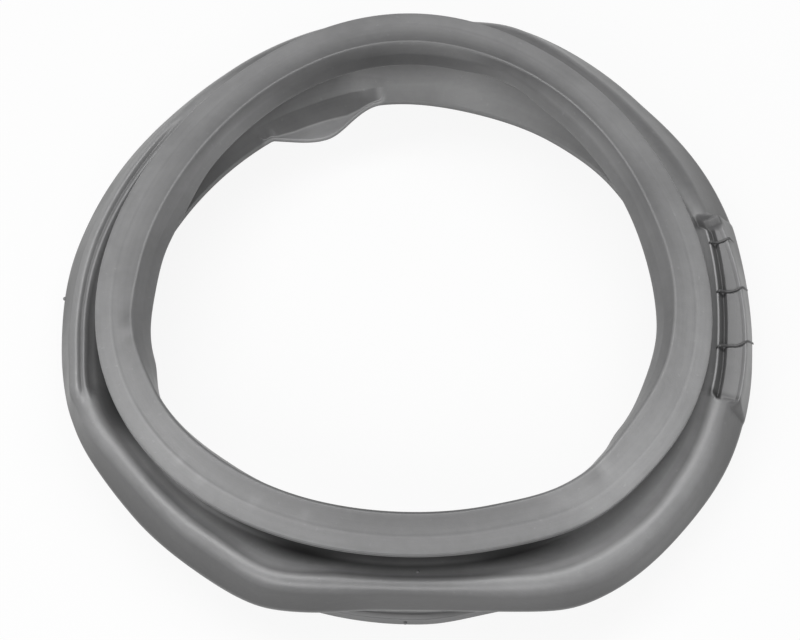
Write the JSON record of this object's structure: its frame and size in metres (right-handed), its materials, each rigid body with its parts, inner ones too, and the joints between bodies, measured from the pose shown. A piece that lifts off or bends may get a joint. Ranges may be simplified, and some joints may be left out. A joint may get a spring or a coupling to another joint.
{
  "type": "washing machine door seal",
  "caption": "Moulded rubber bellows ring that seals the gap between a front-loading washing machine's cabinet opening and its tub.",
  "frame": {"origin": "centre of the seal's footprint, in the plane of the tub flange's flat face that it rests on", "axes": "+Z along the ring's axis from the tub towards the door; +Y towards the top of the opening as fitted; the flat low side is at -Y and the lock pocket at +X"},
  "size_m": [0.4006, 0.3842, 0.0901],
  "materials": {
    "rubber": "satin moulded grey EPDM rubber"
  },
  "bodies": {
    "root": {"door_seal": "rubber"}
  },
  "joints": []
}
